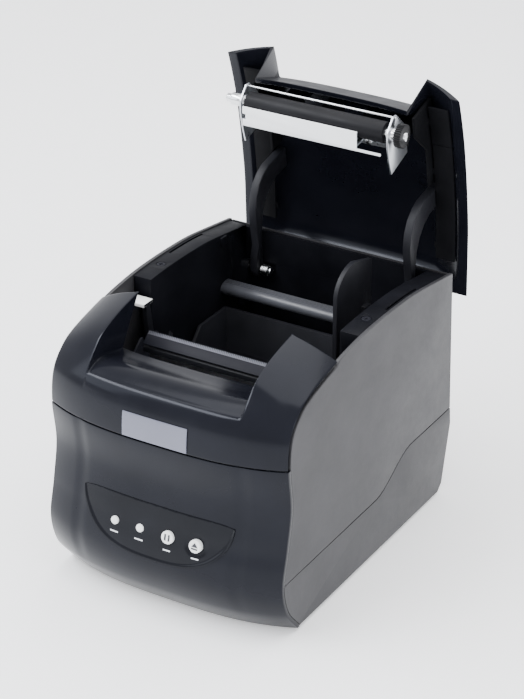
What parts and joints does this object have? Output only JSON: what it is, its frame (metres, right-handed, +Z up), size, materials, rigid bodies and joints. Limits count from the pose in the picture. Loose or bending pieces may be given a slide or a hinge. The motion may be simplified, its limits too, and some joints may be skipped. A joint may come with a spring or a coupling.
{
  "type": "receipt printer",
  "caption": "Desktop thermal receipt and label printer with a hinged lid that carries the platen, a drop-in roll bay, a tear bar, two keys and two lamps.",
  "frame": {"origin": "centre of the footprint of the whole object with its lid open, on the surface that the feet stand on", "axes": "+Z up, the front with the keys faces -Y, +X is to the right of a person facing the front"},
  "size_m": [0.148, 0.234, 0.25],
  "materials": {
    "gloss_shell": "glossy piano-black moulding",
    "side_grain": "fine matte grain, dark grey",
    "inner_black": "satin black moulding",
    "panel_black": "gloss black window",
    "badge": "pale brushed plate, blank",
    "white_key": "white translucent key",
    "beam_grey": "grey ribbed plastic",
    "sheet_steel": "zinc-plated sheet",
    "bar_steel": "dark toothed steel",
    "bright_steel": "turned steel",
    "head_alu": "cast heat sink",
    "ceramic": "glazed ceramic",
    "acetal": "natural acetal",
    "motor_can": "blackened can",
    "brass": "cut brass",
    "gear_black": "black acetal gear",
    "roller_rubber": "ground rubber",
    "foot_rubber": "soft rubber",
    "board_green": "solder mask",
    "ribbon": "flat cable"
  },
  "bodies": {
    "root": {"bottom_case": "gloss_shell", "side_panel_left": "side_grain", "side_panel_right": "side_grain", "top_frame": "inner_black", "rear_panel": "side_grain", "front_hood": "gloss_shell", "badge_plate": "badge", "control_panel": "panel_black", "lamp_windows": "white_key", "control_board": "board_green", "rubber_feet": "foot_rubber", "case_screws": "bright_steel", "deck_screws": "bright_steel", "roll_bin": "inner_black", "ribbed_beam": "beam_grey", "mech_frame": "sheet_steel", "tear_bar": "bar_steel", "paper_plate": "sheet_steel", "gap_sensor": "inner_black", "stepper_motor": "motor_can", "gear_stud": "bright_steel", "head_shaft": "bright_steel", "main_board": "board_green", "head_ribbon": "ribbon", "connector_plate": "inner_black", "dc_jack": "inner_black", "usb_socket": "sheet_steel", "switch_frame": "inner_black"},
    "lid": {"lid_shell": "gloss_shell", "lid_liner": "inner_black", "lid_arms": "inner_black", "hinge_pins": "bright_steel", "hinge_springs": "bright_steel", "platen_bracket": "sheet_steel", "peel_rod": "bright_steel", "platen_bushings": "bright_steel", "lid_screws": "bright_steel", "lid_catches": "bright_steel"},
    "platen": {"platen_rubber": "roller_rubber", "platen_shaft": "bright_steel", "platen_gear": "gear_black"},
    "paper_guide": {"paper_guide": "inner_black"},
    "idler": {"idler_gear": "gear_black"},
    "pinion": {"motor_pinion": "brass"},
    "head": {"heat_sink": "head_alu", "thermal_head": "ceramic", "head_springs": "bright_steel"},
    "latch": {"latch_hooks": "acetal"},
    "rocker": {"power_rocker": "inner_black"},
    "pause_button": {"pause_button": "white_key"},
    "feed_button": {"feed_button": "white_key"}
  },
  "joints": [
    {"name": "lid_hinge", "type": "hinge", "parent": "root", "child": "lid", "pos_m": [0, 0.07909, 0.116], "axis": [1, 0, 0], "range_deg": [0, 79.3]},
    {"name": "platen_spin", "type": "hinge", "parent": "lid", "child": "platen", "pos_m": [0, 0.05863, 0.22968], "axis": [1, 0, 0], "continuous": true},
    {"name": "idler_spin", "type": "hinge", "parent": "root", "child": "idler", "pos_m": [0, -0.02833, 0.10181], "axis": [1, 0, 0], "continuous": true},
    {"name": "pinion_spin", "type": "hinge", "parent": "root", "child": "pinion", "pos_m": [0, -0.03459, 0.09097], "axis": [1, 0, 0], "continuous": true},
    {"name": "guide_slide", "type": "slide", "parent": "root", "child": "paper_guide", "axis": [1, 0, 0], "range_m": [-0.05, 0.01]},
    {"name": "head_pivot", "type": "hinge", "parent": "root", "child": "head", "pos_m": [0, -0.04841, 0.092], "axis": [1, 0, 0], "range_deg": [0, 2], "stiffness_Nm_per_rad": 2},
    {"name": "latch_pivot", "type": "hinge", "parent": "root", "child": "latch", "pos_m": [0, -0.02341, 0.099], "axis": [1, 0, 0], "range_deg": [0, 10], "stiffness_Nm_per_rad": 0.2},
    {"name": "power_rocker_tilt", "type": "hinge", "parent": "root", "child": "rocker", "pos_m": [0, 0.07459, 0.022], "axis": [1, 0, 0], "range_deg": [0, 16]},
    {"name": "pause_press", "type": "slide", "parent": "root", "child": "pause_button", "axis": [0, 0.9706, -0.2406], "range_m": [0, 0.001], "stiffness_N_per_m": 400},
    {"name": "feed_press", "type": "slide", "parent": "root", "child": "feed_button", "axis": [0, 0.9706, -0.2406], "range_m": [0, 0.001], "stiffness_N_per_m": 400}
  ],
  "couplings": [
    {"joint": "pinion_spin", "follows": "idler_spin", "ratio": -3.4286}
  ]
}
